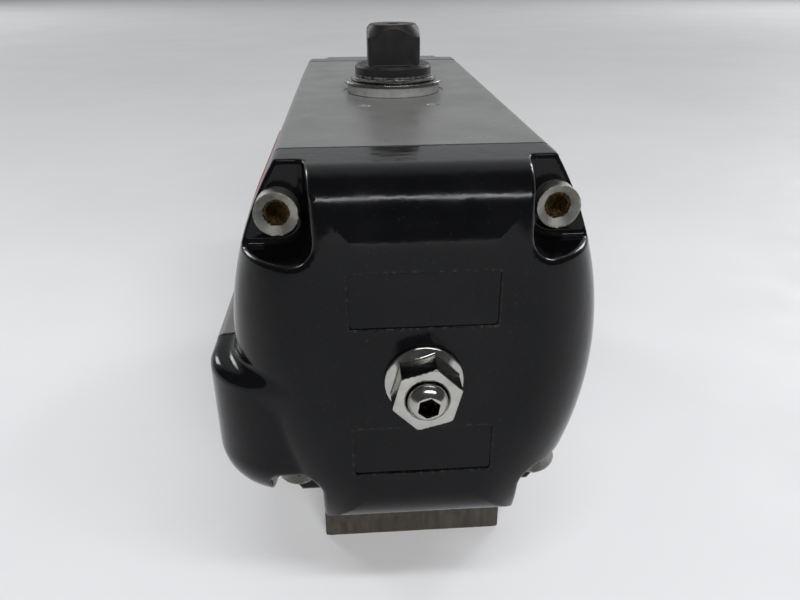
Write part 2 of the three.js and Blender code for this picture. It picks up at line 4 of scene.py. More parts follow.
import bpy
import numpy as np
from mathutils import Matrix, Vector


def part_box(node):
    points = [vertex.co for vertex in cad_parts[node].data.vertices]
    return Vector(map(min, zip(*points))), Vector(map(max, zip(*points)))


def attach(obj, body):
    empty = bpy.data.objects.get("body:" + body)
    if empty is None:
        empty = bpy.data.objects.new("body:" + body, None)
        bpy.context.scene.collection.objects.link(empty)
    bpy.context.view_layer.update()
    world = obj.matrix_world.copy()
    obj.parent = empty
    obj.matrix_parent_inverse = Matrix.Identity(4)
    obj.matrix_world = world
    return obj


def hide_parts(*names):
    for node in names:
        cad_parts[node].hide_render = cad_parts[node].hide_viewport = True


# Rotary pneumatic actuator: fine surfaces, materials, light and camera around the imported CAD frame.
# Shapes are distance functions in millimetres, negative inside, meshed by dual contouring.
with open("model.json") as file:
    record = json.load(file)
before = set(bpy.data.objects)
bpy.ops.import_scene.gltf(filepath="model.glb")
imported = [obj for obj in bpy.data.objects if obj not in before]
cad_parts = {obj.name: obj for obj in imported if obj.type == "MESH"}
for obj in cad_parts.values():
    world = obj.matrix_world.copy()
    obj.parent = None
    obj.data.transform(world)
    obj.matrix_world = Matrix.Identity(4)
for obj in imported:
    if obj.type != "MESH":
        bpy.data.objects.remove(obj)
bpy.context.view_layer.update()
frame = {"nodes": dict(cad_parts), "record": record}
MM = 0.001
COS_45 = 0.7071             # turns a 45 degree chamfer's offset into a distance


def corners(node):
    """Lowest and highest corner of a CAD node in millimetres."""
    low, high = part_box(node)
    return np.array(low) / MM, np.array(high) / MM


# Driving sizes in millimetres, most of them read from the frame. Y runs along the bore, Z up the pinion.
BODY_LOW, BODY_HIGH = corners("body")
CAP_LOW, CAP_HIGH = corners("front_end_cap")
STOP_LOW, STOP_HIGH = corners("front_stop_screw")
NUT_LOW, NUT_HIGH = corners("front_lock_nut")
SCREW_LOW, SCREW_HIGH = corners("front_cap_screw_2")
PINION_LOW, PINION_HIGH = corners("pinion")
LABEL_LOW, LABEL_HIGH = corners("side_label")
RING_LOW, RING_HIGH = corners("retaining_ring")
TOP_Z = BODY_HIGH[2]
BODY_END = BODY_HIGH[1]
CAP_START = -CAP_HIGH[1]
CAP_FACE = -CAP_LOW[1]
CAP_BASE = CAP_LOW[2]
BORE_Z = (STOP_LOW[2] + STOP_HIGH[2]) / 2
BORE_R = 57.5
HALF_RISE = TOP_Z - BORE_Z
TOP_HALF = 45.8             # half width of the flat top
SIDE_HALF = CAP_HIGH[0]
SIDE_SAG = SIDE_HALF - TOP_HALF
SIDE_R = (SIDE_SAG ** 2 + HALF_RISE ** 2) / (2 * SIDE_SAG)
SIDE_X = SIDE_R - SIDE_HALF
EDGE_R = 1.2                # rounding along the edges of the flat top and underside

LOBE = {"x": -BODY_LOW[0], "inner": 40, "low": 48, "high": 103, "top_r": 4, "low_r": 11,
        "front": 150, "side_r": 26, "front_top_r": 4, "front_low_r": 20}
FOOT = {"half": 38, "top": 46}
PAD = {"x": BODY_HIGH[0], "inner": 40, "half_y": 33, "half_z": 24}
PORT = {"r": 5.9, "y": 12, "depth": 13, "past_wall": 4}
PAD_HOLES = {"y": 16, "z": 12, "r": 2.1, "depth": 9}
CHANNEL = {"x": -66, "z": 76, "r": 4.2, "into_cap": 14}
ACCESSORY = {"x": 15, "y": 40, "r": 2.1, "depth": 8}
VALVE_BOLTS = {"r": 3.4, "offset": 24.75, "depth": 16}
SPIGOT = {"r": 27.5, "depth": 3}
BEARING_SEAT = {"r": 20.3, "low": 22, "high": 162}
SEAL_BORE_R = 18.6
WASHER_SEAT = {"r": 24, "depth": 0.3}
TOP_BOSS = {"r": 27, "low": 152}

POCKET = {"floor_x": 36.3, "outer": 53.5, "fillet": 2.4, "rim": 1.3}
UPPER_POCKET = {"drop": 28, "corner": 9, "draft": 0.13}
LOWER_POCKET = {"drop": 24, "corner": 8, "draft": 0.05}
RECESS = {"half": 23.3, "high": 18.6, "offset": 28.25, "depth": 0.7}
CAP_ROUND = {"top": 22, "low": 19, "side": 34}
CHAMBER = {"r": 44, "back": 140, "boss": 13, "boss_start": 122}
SCREW_X = (SCREW_LOW[0] + SCREW_HIGH[0]) / 2
SCREW_RISE = (SCREW_LOW[2] + SCREW_HIGH[2]) / 2 - BORE_Z
SCREW_HEAD = {"r": (SCREW_HIGH[0] - SCREW_LOW[0]) / 2, "high": 9.5, "socket": 7.94, "depth": 5}
SCREW_TURNS = (0.0, 0.2, 0.35, -0.15)       # where tightening left each socket, in radians
FLANGE_Y = -SCREW_LOW[1] - SCREW_HEAD["high"]
SCREW_SHANK = {"r": 4.65, "long": 31.75, "hole": 5.1, "tapped": 4.95, "bottom": 94}
SCREW_DRILL = {"r": 3.4, "slope": 1.6, "deep": 2.2}
STOP_HOLE_R = 6.7
STOP = {"r": 6.35, "tip": -STOP_LOW[1], "inner": -STOP_HIGH[1], "socket": 6.35, "depth": 6,
        "dome": 4.4, "flat": 1.0}
NUT = {"flat": 19.7, "high": NUT_HIGH[1] - NUT_LOW[1], "flange_r": 12.9, "turn": 15}
SEAL_SEAT = {"r": 8.7, "depth": 1.6}


# ---- distance functions -------------------------------------------------------------------------

def both(a, b, r=0.0):
    """What lies in a and in b, with the edge between them rounded to radius r."""
    if np.isscalar(r) and r == 0:
        return np.maximum(a, b)
    return np.minimum(-r, np.maximum(a, b)) + np.hypot(np.maximum(a + r, 0), np.maximum(b + r, 0))


def either(a, b, r=0.0):
    """What lies in a or in b, with a fillet of radius r where they meet."""
    return -both(-a, -b, r)


def without(a, b, r=0.0):
    """What lies in a but not in b, with the edge between them rounded to radius r."""
    return both(a, -b, r)


def rectangle(u, v, half_u, half_v, r=0.0):
    """Rectangle round the origin with its corners rounded to radius r."""
    return both(np.abs(u) - half_u, np.abs(v) - half_v, r)


def polygon(u, v, flat, sides=6, turn=0.0):
    """Regular polygon of the given size across its flats."""
    best = None
    for k in range(sides):
        angle = math.radians(turn) + 2 * math.pi * k / sides
        side = u * math.cos(angle) + v * math.sin(angle) - flat / 2
        best = side if best is None else np.maximum(best, side)
    return best


def outline(u, v, points):
    """Signed distance to a closed outline."""
    best = np.full(u.shape, np.inf)
    sign = np.ones(u.shape)
    for (ax, ay), (bx, by) in zip(points, points[1:] + points[:1]):
        ex, ey = bx - ax, by - ay
        wx, wy = u - ax, v - ay
        t = np.clip((wx * ex + wy * ey) / (ex * ex + ey * ey), 0, 1)
        best = np.minimum(best, (wx - ex * t) ** 2 + (wy - ey * t) ** 2)
        above, below, left = v >= ay, v < by, ex * wy > ey * wx
        sign = np.where((above & below & left) | ~(above | below | left), -sign, sign)
    return sign * np.sqrt(best)


# ---- dual contouring ----------------------------------------------------------------------------

def steps(low, high, coarse, fine=None, at=(), reach=2.5):
    """Grid coordinates from low to high, closer together around the places in at."""
    places = [np.arange(low, high + coarse, coarse)]
    for place in at:
        places.append(np.arange(place - reach, place + reach + fine / 2, fine))
    line = np.unique(np.concatenate(places).round(4))
    line = line[(line > low - 0.01) & (line < high + coarse)]
    least = (fine or coarse) * 0.45
    kept = [line[0]]
    for value in line[1:]:
        if value - kept[-1] >= least:
            kept.append(value)
    return np.array(kept) + 0.0137


def gradient(sdf, p, h=0.01):
    """Unit normals of a distance function at points p."""
    slopes = []
    for axis in range(3):
        offset = np.zeros(3)
        offset[axis] = h
        slopes.append(sdf(*(p + offset).T) - sdf(*(p - offset).T))
    n = np.stack(slopes, -1)
    return n / np.maximum(np.linalg.norm(n, axis=-1, keepdims=True), 1e-12)


def crossings(sdf, axes, field, axis):
    """Grid edges along one axis that cross the surface: their cells, direction and crossing points."""
    low = [slice(None)] * 3
    high = [slice(None)] * 3
    low[axis], high[axis] = slice(None, -1), slice(1, None)
    inside_low = field[tuple(low)] < 0
    inside_high = field[tuple(high)] < 0
    index = np.argwhere(inside_low != inside_high)
    outward = inside_low[tuple(index.T)]
    a = np.stack([axes[k][index[:, k]] for k in range(3)], -1)
    b = a.copy()
    b[:, axis] = axes[axis][index[:, axis] + 1]
    da, db = sdf(*a.T), sdf(*b.T)
    for _ in range(5):
        t = np.clip(da / (da - db), 0.02, 0.98)[:, None]
        middle = a + (b - a) * t
        value = sdf(*middle.T)
        same = ((value < 0) == (da < 0))[:, None]
        a, da = np.where(same, middle, a), np.where(same[:, 0], value, da)
        b, db = np.where(same, b, middle), np.where(same[:, 0], db, value)
    t = (da / (da - db))[:, None]
    return index, outward, a + (b - a) * t


def contour(sdf, xs, ys, zs):
    """Quad mesh of a distance function: points, quads and one normal for each corner."""
    axes = (xs, ys, zs)
    field = sdf(*np.meshgrid(*axes, indexing="ij"))
    shape = np.array(field.shape)
    cells, points, quads = [], [], []
    for axis in range(3):
        b, c = (axis + 1) % 3, (axis + 2) % 3
        index, outward, crossing = crossings(sdf, axes, field, axis)
        ring = []
        for db, dc in ((1, 1), (0, 1), (0, 0), (1, 0)):
            cell = index.copy()
            cell[:, b] -= db
            cell[:, c] -= dc
            ring.append(np.ravel_multi_index(cell.T, shape))
        ring = np.stack(ring, -1)
        quads.append(np.where(outward[:, None], ring, ring[:, ::-1]))
        cells.append(ring.ravel())
        points.append(np.repeat(crossing, 4, axis=0))
    cells, points = np.concatenate(cells), np.concatenate(points)
    normals = gradient(sdf, points[::4])
    normals = np.repeat(normals, 4, axis=0)
    used, slot = np.unique(cells, return_inverse=True)
    count = np.bincount(slot)

    def gathered(values):
        return np.bincount(slot, weights=values)

    centre = np.stack([gathered(points[:, k]) for k in range(3)], -1) / count[:, None]
    mean = np.stack([gathered(normals[:, k]) for k in range(3)], -1) / count[:, None]
    lean = (normals * (points - centre[slot])).sum(-1)
    right = np.stack([gathered(normals[:, k] * lean) for k in range(3)], -1)
    matrix = np.empty((len(used), 3, 3))
    for i in range(3):
        for j in range(3):
            matrix[:, i, j] = gathered(normals[:, i] * normals[:, j])
    values, vectors = np.linalg.eigh(matrix)
    inverse = np.where(values > 0.06 * values[:, 2:], 1 / np.maximum(values, 1e-9), 0)
    shift = np.einsum("nij,nj,nkj,nk->ni", vectors, inverse, vectors, right)
    place = centre + shift
    grid = np.stack(np.unravel_index(used, shape), -1)
    for k in range(3):
        place[:, k] = np.clip(place[:, k], axes[k][grid[:, k]], axes[k][grid[:, k] + 1])

    quads = np.searchsorted(used, np.concatenate(quads))
    at_point = gradient(sdf, place)
    corner_normals = at_point[quads]
    sharp = (np.linalg.norm(mean, axis=-1) < 0.985)[quads].any(-1)
    faces = quads[sharp]
    middle = place[faces].mean(1, keepdims=True)
    near = place[faces] + 0.3 * (middle - place[faces])
    local = gradient(sdf, near.reshape(-1, 3)).reshape(near.shape)
    close = ((local * corner_normals[sharp]).sum(-1) > 0.97)[..., None]
    corner_normals[sharp] = np.where(close, corner_normals[sharp], local)
    return place, quads, corner_normals, at_point


def edge_wear(sdf, points, normals, reach):
    """How convex the surface is within reach of each point: 0 on flats, up to 1 on sharp edges."""
    depth = sdf(*(points - normals * reach).T)
    return np.clip((depth / reach + 1) * 2.5, 0, 1)


# ---- pieces -------------------------------------------------------------------------------------

def make_mesh(name, points, quads, corner_normals, marks):
    """Blender mesh of the quads, with their own corner normals and the marks as point attributes."""
    mesh = bpy.data.meshes.new(name)
    mesh.vertices.add(len(points))
    mesh.vertices.foreach_set("co", (points * MM).astype(np.float32).ravel())
    mesh.loops.add(quads.size)
    mesh.loops.foreach_set("vertex_index", quads.astype(np.int32).ravel())
    mesh.polygons.add(len(quads))
    mesh.polygons.foreach_set("loop_start", np.arange(0, quads.size, 4, dtype=np.int32))
    mesh.update(calc_edges=True)
    mesh.validate()
    mesh.polygons.foreach_set("use_smooth", np.ones(len(mesh.polygons), dtype=bool))
    for mark, values in marks.items():
        layer = mesh.attributes.new(mark, "FLOAT", "POINT")
        layer.data.foreach_set("value", np.asarray(values, dtype=np.float32))
    if len(mesh.loops) == quads.size:
        mesh.normals_split_custom_set(corner_normals.reshape(-1, 3))
    return mesh


def sculpt(name, sdf, grid, wear=1.0, marks=None, limits=None):
    """Mesh of a distance function with wear and any further marks stored on its points.

    limits, when given, are the corners of the box that the points are kept in.
    """
    points, quads, corner_normals, normals = contour(sdf, *grid)
    if limits:
        points = np.clip(points, *limits)
    values = {"wear": edge_wear(sdf, points, normals, wear)}
    for mark, rule in (marks or {}).items():
        values[mark] = rule(*points.T)
    return make_mesh(name, points, quads, corner_normals, values)


def place(name, mesh, material, body, slot, nodes=(), matrix=None):
    """One visible piece that stands for CAD nodes and rides on a body."""
    piece = bpy.data.objects.new(name, mesh)
    bpy.context.scene.collection.objects.link(piece)
    if not mesh.materials:
        mesh.materials.append(material)
    if matrix is not None:
        piece.matrix_world = matrix
    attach(piece, body)
    if nodes:
        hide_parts(*nodes)
    return piece


# ---- housing ------------------------------------------------------------------------------------

def smooth_step(value, low, high):
    """Rises smoothly from 0 at low to 1 at high."""
    t = np.clip((value - low) / (high - low), 0, 1)
    return t * t * (3 - 2 * t)


def side_walls(x, z):
    """What lies between the two bulged sides, each an arc through the edges of the flat top."""
    return np.maximum(np.hypot(x + SIDE_X, z - BORE_Z), np.hypot(x - SIDE_X, z - BORE_Z)) - SIDE_R


def housing(x, z):
    """Section across the bore: flat top and underside, bulged sides."""
    return both(side_walls(x, z), np.abs(z - BORE_Z) - HALF_RISE, EDGE_R)


def lobe_section(x, z):
    """Section of the air lobe on the left side."""
    left, top, low = -LOBE["x"] - x, z - LOBE["high"], LOBE["low"] - z
    return np.maximum(both(both(left, top, LOBE["top_r"]), low, LOBE["low_r"]), x + LOBE["inner"])


def lobe_fillet(z):
    """Fillet between the lobe and the side wall: wide on top, narrow below."""
    return 0.8 + 3.0 * smooth_step(z, 88, 100)


def tapped_hole(across, depth_in, r, depth):
    """Blind hole with a countersunk mouth; across is the distance to its axis."""
    hole = np.maximum(across - r, depth_in - depth)
    return np.minimum(hole, (across - r - 0.7 + depth_in) * COS_45)


def across_screw(x, z):
    """Distance to the axis of the nearest cap screw."""
    return np.hypot(np.abs(x) - SCREW_X, np.abs(z - BORE_Z) - SCREW_RISE)


def air_channel(x, z):
    """Passage that runs the whole length of the lobe."""
    return np.hypot(x - CHANNEL["x"], z - CHANNEL["z"]) - CHANNEL["r"]


def body_shape(x, y, z):
    """Extruded body with its lobe, foot and port pad, bored and drilled through."""
    foot = rectangle(x, z - FOOT["top"] / 2, FOOT["half"], FOOT["top"] / 2, 1.6)
    section = either(housing(x, z), foot, 1.5)
    section = either(section, lobe_section(x, z), lobe_fillet(z))
    shape = both(section, np.abs(y) - BODY_END, 0.5)
    pad = both(rectangle(y, z - BORE_Z, PAD["half_y"], PAD["half_z"], 5), x - PAD["x"], 1)
    shape = either(shape, np.maximum(pad, PAD["inner"] - x), 3)

    bore = np.hypot(x, z - BORE_Z) - BORE_R
    from_axis = np.hypot(x, y)
    boss = np.maximum(from_axis - TOP_BOSS["r"], TOP_BOSS["low"] - z)
    shape = without(shape, without(bore, boss, 1), 0.4)
    stepped = np.where(z < (BEARING_SEAT["low"] + BEARING_SEAT["high"]) / 2,
                       np.maximum(from_axis - BEARING_SEAT["r"], z - BEARING_SEAT["low"]),
                       np.maximum(from_axis - BEARING_SEAT["r"], BEARING_SEAT["high"] - z))
    shape = without(shape, np.minimum(from_axis - SEAL_BORE_R, stepped), 0.3)
    shape = without(shape, np.maximum(from_axis - SPIGOT["r"], z - SPIGOT["depth"]), 0.3)
    shape = without(shape, np.maximum(from_axis - WASHER_SEAT["r"], TOP_Z - WASHER_SEAT["depth"] - z))

    ax, ay = np.abs(x), np.abs(y)
    on_top = np.hypot(ax - ACCESSORY["x"], ay - ACCESSORY["y"])
    shape = without(shape, tapped_hole(on_top, TOP_Z - z, ACCESSORY["r"], ACCESSORY["depth"]))
    below = np.hypot(ax - VALVE_BOLTS["offset"], ay - VALVE_BOLTS["offset"])
    shape = without(shape, tapped_hole(below, z, VALVE_BOLTS["r"], VALVE_BOLTS["depth"]))
    deep = PAD["x"] - x
    on_pad = np.hypot(ay - PAD_HOLES["y"], np.abs(z - BORE_Z) - PAD_HOLES["z"])
    shape = without(shape, tapped_hole(on_pad, deep, PAD_HOLES["r"], PAD_HOLES["depth"]))
    to_bore = PAD["x"] - BORE_R + PORT["past_wall"]
    port_depth = np.where(y < 0, to_bore, PORT["depth"])
    across = np.hypot(ay - PORT["y"], z - BORE_Z)
    shape = without(shape, tapped_hole(across, deep, PORT["r"], port_depth))
    screw_hole = np.maximum(across_screw(x, z) - SCREW_SHANK["tapped"], SCREW_SHANK["bottom"] - ay)
    shape = without(shape, screw_hole)
    return without(shape, air_channel(x, z))


def cap_shape(x, y, z):
    """End cap; y is measured from the middle of the actuator towards the cap."""
    front, side = y - CAP_FACE, side_walls(x, z)
    crown = both(front, side, CAP_ROUND["side"])
    crown = np.maximum(crown, both(front, z - TOP_Z, CAP_ROUND["top"]))
    crown = np.maximum(crown, both(front, CAP_BASE - z, CAP_ROUND["low"]))
    shape = np.maximum(housing(x, z), crown)

    nose = both(y - LOBE["front"], -LOBE["x"] - x, LOBE["side_r"])
    lobe = np.maximum(lobe_section(x, z), both(nose, z - LOBE["high"], LOBE["front_top_r"]))
    lobe = np.maximum(lobe, both(nose, LOBE["low"] - z, LOBE["front_low_r"]))
    shape = either(shape, lobe, lobe_fillet(z))

    for up, size in ((-1, LOWER_POCKET), (1, UPPER_POCKET)):
        rise = up * (z - BORE_Z) - HALF_RISE + size["drop"]
        wall = np.abs(x) - POCKET["floor_x"] + size["draft"] * (y - FLANGE_Y)
        pocket = both(both(-wall, -rise, size["corner"]), FLANGE_Y - y, POCKET["fillet"])
        if up < 0:
            pocket = both(pocket, -POCKET["outer"] - x, 4)
        shape = without(shape, pocket, POCKET["rim"])
        panel = rectangle(x, z - BORE_Z - up * RECESS["offset"], RECESS["half"], RECESS["high"] / 2, 1.2)
        shape = without(shape, np.maximum(panel, CAP_FACE - RECESS["depth"] - y), 0.3)
    shape = both(shape, CAP_START - y, 0.5)

    from_axis = np.hypot(x, z - BORE_Z)
    chamber = np.maximum(from_axis - CHAMBER["r"], y - CHAMBER["back"])
    boss = np.maximum(from_axis - CHAMBER["boss"], CHAMBER["boss_start"] - y)
    shape = without(shape, without(chamber, boss), 0.8)
    shape = without(shape, from_axis - STOP_HOLE_R)
    shape = without(shape, np.maximum(from_axis - SEAL_SEAT["r"], CAP_FACE - SEAL_SEAT["depth"] - y))
    shape = without(shape, across_screw(x, z) - SCREW_SHANK["hole"])
    return without(shape, np.maximum(air_channel(x, z), y - CAP_START - CHANNEL["into_cap"]))


def gasket_shape(x, y, z):
    """Flat gasket that fills the gap between body and cap, set back a little from their edges."""
    set_back, clear = 0.9, 0.02
    section = either(housing(x, z), lobe_section(x, z), lobe_fillet(z)) + set_back
    half_gap = (CAP_START - BODY_END) / 2
    sheet = np.abs(y - BODY_END - half_gap) - half_gap + clear
    shape = np.maximum(section, sheet)
    shape = without(shape, np.hypot(x, z - BORE_Z) - BORE_R + 1)
    shape = without(shape, across_screw(x, z) - SCREW_SHANK["hole"])
    return without(shape, air_channel(x, z))


# ---- fasteners ----------------------------------------------------------------------------------

def cap_screw_shape(x, y, z):
    """Socket head cap screw along Y: the head from y = 0 to its height, the shank towards -Y."""
    r = np.hypot(x, z)
    high = SCREW_HEAD["high"]
    head = both(both(r - SCREW_HEAD["r"], y - high, 0.9), -y, 0.3)
    shank = both(r - SCREW_SHANK["r"], -SCREW_SHANK["long"] - y, 1)
    shape = np.minimum(head, np.maximum(shank, y - 1))
    above_floor = high - SCREW_HEAD["depth"] - y
    socket = np.maximum(polygon(x, z, SCREW_HEAD["socket"], 6, 30), above_floor)
    slope = SCREW_DRILL["slope"]
    drill = (r - SCREW_DRILL["r"] + above_floor * slope) / math.hypot(1, slope)
    socket = np.minimum(socket, np.maximum(drill, above_floor - SCREW_DRILL["deep"]))
    mouth = (r - SCREW_HEAD["socket"] / 2 - 0.6 + high - y) * COS_45
    return without(without(shape, socket), mouth, 0.1)


def nut_shape(x, y, z):
    """Flange nut along Y: seated on y = 0 and standing out towards +Y."""
    r = np.hypot(x, z)
    high, flange_r = NUT["high"], NUT["flange_r"]
    corner_r = NUT["flat"] / 2 / math.cos(math.pi / 6)
    hexagon = both(polygon(x, z, NUT["flat"], 6, NUT["turn"]), y - high, 0.25)
    chamfer = (r - corner_r + 0.5 + (y - high) * 1.5) / math.hypot(1, 1.5)
    hexagon = both(hexagon, chamfer, 0.2)
    slope = (r - corner_r - 0.4) * 0.42 + (y - 2.1) * 0.9
    flange = both(both(r - flange_r, slope, 0.5), -y, 0.3)
    shape = np.maximum(either(hexagon, flange, 0.5), -y)
    shape = without(shape, r - STOP_HOLE_R)
    return without(shape, (r - STOP_HOLE_R - 0.55 + high - y) * COS_45, 0.1)


def stop_screw_shape(x, y, z):
    """Travel stop screw along Y with a domed end and a hexagon socket."""
    r = np.hypot(x, z)
    dome_start = STOP["tip"] - STOP["dome"]
    stretch = STOP["r"] / (STOP["dome"] + STOP["flat"])
    dome = np.hypot(r, np.maximum(y - dome_start, 0) * stretch) - STOP["r"]
    shape = both(dome, y - STOP["tip"], 0.3)
    shape = both(shape, STOP["inner"] - y, 1)
    socket = polygon(x, z, STOP["socket"], 6, 10)
    return without(shape, np.maximum(socket, STOP["tip"] - STOP["depth"] - y), 0.15)


# ---- pinion, rings and label --------------------------------------------------------------------

# Sizes in millimetres; the spring ring's gap and the place of its lugs are angles in radians
JOURNAL_R = 18
WASHER_BORE_R = 18.4
SHAFT_R = 16.2
COLLAR_TOP = 184.5
SQUARE = {"flat": 24, "corner": 2.2}
CHAMFER_CONE = {"top_r": 10.6, "slope": 1.143}
SOCKET = {"flat": 17, "depth": 24}
ORING = {"seat": 15.6, "high": 3.2, "low": 27.5, "top": 157.5}
CIRCLIP = {"seat": 17, "inner": 17.2, "high": 1.7, "gap": 0.13}
LUG = {"from_axis": 20.6, "angle": 0.27, "r": 2.5, "eye": 1.1}
GEAR = {"module": 2.5, "teeth": 16, "root": 16.9, "tip": 22.5, "low": 90, "high": 122,
        "backlash": 0.15}
TOP_HOLE = {"r": 2.5, "depth": 14}


def shaft_profile():
    """Half section of the turned shaft as (radius, height) points."""
    def groove(middle, high, seat):
        low, top = middle - high / 2, middle + high / 2
        return [(JOURNAL_R, low), (seat, low), (seat, top), (JOURNAL_R, top)]

    bottom = PINION_LOW[2]
    return [
        (-1, bottom), (JOURNAL_R - 0.8, bottom), (JOURNAL_R, bottom + 0.8),
        *groove(ORING["low"], ORING["high"], ORING["seat"]),
        (JOURNAL_R, 50), (SHAFT_R, 52), (SHAFT_R, 149), (JOURNAL_R, 151),
        *groove(ORING["top"], ORING["high"], ORING["seat"]),
        *groove(RING_LOW[2] + CIRCLIP["high"] / 2, CIRCLIP["high"], CIRCLIP["seat"]),
        (JOURNAL_R, COLLAR_TOP - 1.1), (JOURNAL_R - 1.1, COLLAR_TOP), (-1, COLLAR_TOP),
    ]


def pinion_shape(x, y, z):
    """Shaft with a chamfered square on top and a double-square socket below."""
    r = np.hypot(x, y)
    shaft = outline(r, z, shaft_profile())
    top = PINION_HIGH[2]
    half = SQUARE["flat"] / 2
    ax, ay = np.abs(x), np.abs(y)
    square = both(both(ax - half, ay - half), (ax + ay - 2 * half + SQUARE["corner"]) * COS_45, 0.5)
    slope = CHAMFER_CONE["slope"]
    cone = ((r - CHAMFER_CONE["top_r"]) * slope + z - top) / math.hypot(1, slope)
    square = both(both(square, z - top, 0.4), cone, 0.3)
    square = np.maximum(square, COLLAR_TOP - 4 - z)
    shape = either(shaft, square, 0.6)
    roof = z - PINION_LOW[2] - SOCKET["depth"]
    star = np.minimum(polygon(x, y, SOCKET["flat"], 4), polygon(x, y, SOCKET["flat"], 4, 45))
    shape = without(shape, np.maximum(star, roof), 0.2)
    return without(shape, tapped_hole(r, top - z, TOP_HOLE["r"], TOP_HOLE["depth"]))


def gear_points():
    """Gear outline with involute flanks."""
    pitch_r = GEAR["module"] * GEAR["teeth"] / 2
    pressure = math.radians(20)
    base_r = pitch_r * math.cos(pressure)
    half_pitch = (math.pi * GEAR["module"] / 2 - GEAR["backlash"]) / 2 / pitch_r

    def half_at(r):
        angle = math.acos(min(1, base_r / r))
        return half_pitch + (math.tan(pressure) - pressure) - (math.tan(angle) - angle)

    radii = [GEAR["root"], base_r, (base_r + GEAR["tip"]) / 2, GEAR["tip"]]
    points = []
    for tooth in range(GEAR["teeth"]):
        centre = (tooth + 0.5) * 2 * math.pi / GEAR["teeth"]
        flank = [(r, centre - half_at(r)) for r in radii]
        flank += [(r, centre + half_at(r)) for r in reversed(radii)]
        points += [(r * math.cos(angle), r * math.sin(angle)) for r, angle in flank]
    return points


def prism_mesh(name, points, low, high):
    """Flat-shaded prism between two heights over an outline of points."""
    count = len(points)
    verts = [(x * MM, y * MM, z * MM) for z in (low, high) for x, y in points]
    faces = [(i, (i + 1) % count, count + (i + 1) % count, count + i) for i in range(count)]
    faces.append(tuple(range(count - 1, -1, -1)))
    faces.append(tuple(range(count, 2 * count)))
    mesh = bpy.data.meshes.new(name)
    mesh.from_pydata(verts, [], faces)
    mesh.update()
    return mesh


def ring_shape(inner, outer, low, high, edge):
    """Distance function of a flat ring with rounded edges."""
    def shape(x, y, z):
        return rectangle(np.hypot(x, y) - (inner + outer) / 2, z - (low + high) / 2,
                         (outer - inner) / 2, (high - low) / 2, edge)
    return shape


def retaining_ring_shape(x, y, z):
    """Spring ring with a gap and two eyed lugs at the back."""
    low, high = RING_LOW[2], RING_HIGH[2]
    r = np.hypot(x, y)
    angle = np.arctan2(np.abs(x), y)
    taper = 0.9 * smooth_step(angle, 2.2, 0.3)
    open_part = np.maximum((CIRCLIP["gap"] - angle) * r, CIRCLIP["inner"] - r)
    band = np.maximum(r - RING_HIGH[0] + taper, open_part)
    lug_x = LUG["from_axis"] * math.sin(LUG["angle"])
    lug_y = LUG["from_axis"] * math.cos(LUG["angle"])
    across = np.hypot(np.abs(x) - lug_x, y - lug_y)
    lug = np.maximum(across - LUG["r"], open_part)
    band = without(either(band, lug, 0.6), across - LUG["eye"])
    return both(band, np.abs(z - (low + high) / 2) - (high - low) / 2, 0.2)


def label_mesh():
    """Thin curved plate with rounded corners, bent round the left side wall."""
    columns, rows = 40, 24
    corner, thick, clear = 4.0, 0.3, 0.06
    half_y = (LABEL_HIGH[1] - LABEL_LOW[1]) / 2
    middle_y = (LABEL_HIGH[1] + LABEL_LOW[1]) / 2
    turn_low = math.asin((LABEL_LOW[2] - BORE_Z) / SIDE_R)
    turn_high = math.asin((LABEL_HIGH[2] - BORE_Z) / SIDE_R)
    half_s = (turn_high - turn_low) * SIDE_R / 2
    middle = (turn_high + turn_low) / 2
    along = half_y * np.sin(np.linspace(-math.pi / 2, math.pi / 2, columns + 1))
    into = np.maximum(np.abs(along) - half_y + corner, 0)
    reach = half_s - corner + np.sqrt(corner ** 2 - into ** 2)
    points, quads = [], []
    for lift in (0.0, thick):
        for i in range(columns + 1):
            for j in range(rows + 1):
                turn = middle + reach[i] * (2 * j / rows - 1) / SIDE_R
                radius = SIDE_R + clear + lift
                points.append((SIDE_X - radius * math.cos(turn), middle_y + along[i],
                               BORE_Z + radius * math.sin(turn)))

    def at(sheet, i, j):
        return (sheet * (columns + 1) + i) * (rows + 1) + j

    for i in range(columns):
        for j in range(rows):
            quads.append((at(0, i, j), at(0, i + 1, j), at(0, i + 1, j + 1), at(0, i, j + 1)))
            quads.append((at(1, i, j), at(1, i, j + 1), at(1, i + 1, j + 1), at(1, i + 1, j)))
        for j, (first, second) in ((0, (i, i + 1)), (rows, (i + 1, i))):
            quads.append((at(0, first, j), at(1, first, j), at(1, second, j), at(0, second, j)))
    for j in range(rows):
        for i, (first, second) in ((0, (j + 1, j)), (columns, (j, j + 1))):
            quads.append((at(0, i, first), at(1, i, first), at(1, i, second), at(0, i, second)))
    mesh = bpy.data.meshes.new("side_label_plate")
    mesh.from_pydata([tuple(np.array(p) * MM) for p in points], [], quads)
    mesh.polygons.foreach_set("use_smooth", [True] * len(mesh.polygons))
    mesh.set_sharp_from_angle(angle=math.radians(40))
    mesh.update()
    return mesh


# ---- materials ----------------------------------------------------------------------------------

